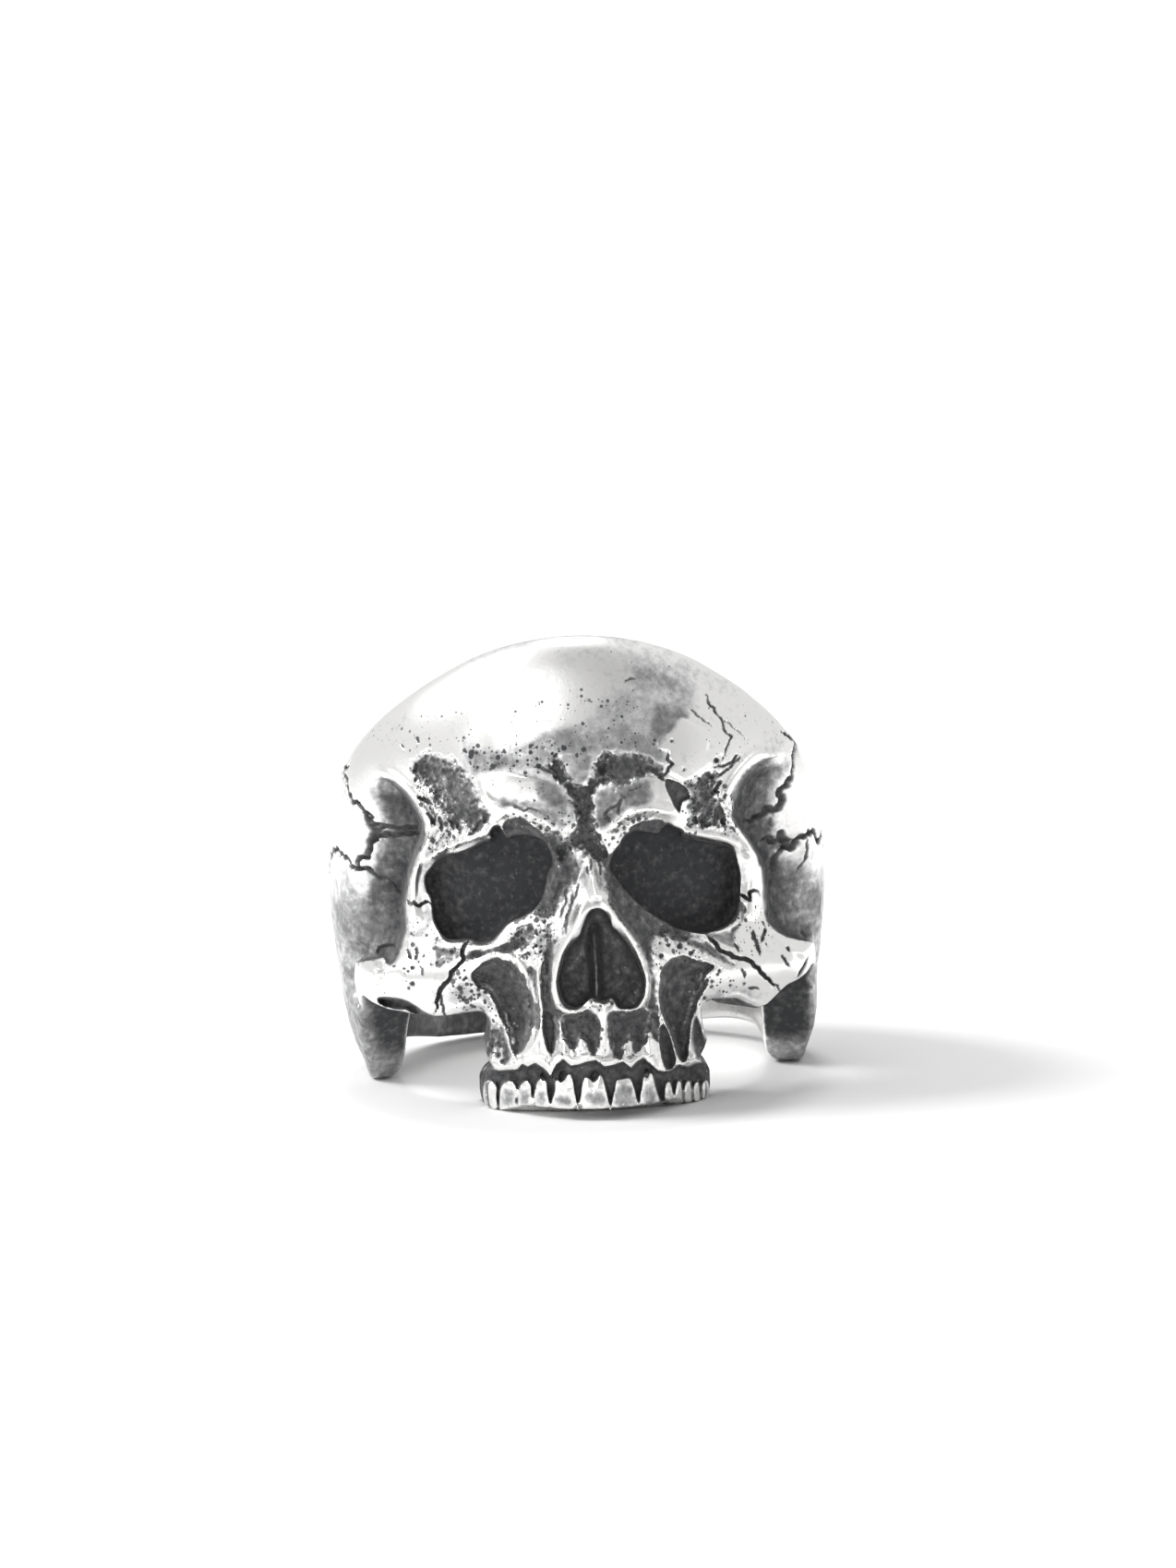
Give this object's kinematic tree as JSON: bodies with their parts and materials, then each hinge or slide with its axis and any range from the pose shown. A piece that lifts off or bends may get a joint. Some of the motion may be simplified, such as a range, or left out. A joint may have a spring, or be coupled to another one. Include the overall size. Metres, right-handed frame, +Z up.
{
  "type": "skull ring",
  "caption": "Finger ring cast as a skull without a lower jaw: the face at the front, a plain tapering shank behind, and a round finger hole straight through.",
  "frame": {"origin": "on the axis of the finger hole, at the surface that the ring lies on", "axes": "+Z up along the finger hole, from the teeth to the crown; the face looks towards -Y; +X to the viewer's right; the ring lies on its side as a ring does by itself"},
  "size_m": [0.0262, 0.0268, 0.0244],
  "materials": {
    "oxidised_silver": "polished silver on the high places, blackened in the hollows"
  },
  "bodies": {
    "root": {"skull_ring": "oxidised_silver"}
  },
  "joints": []
}
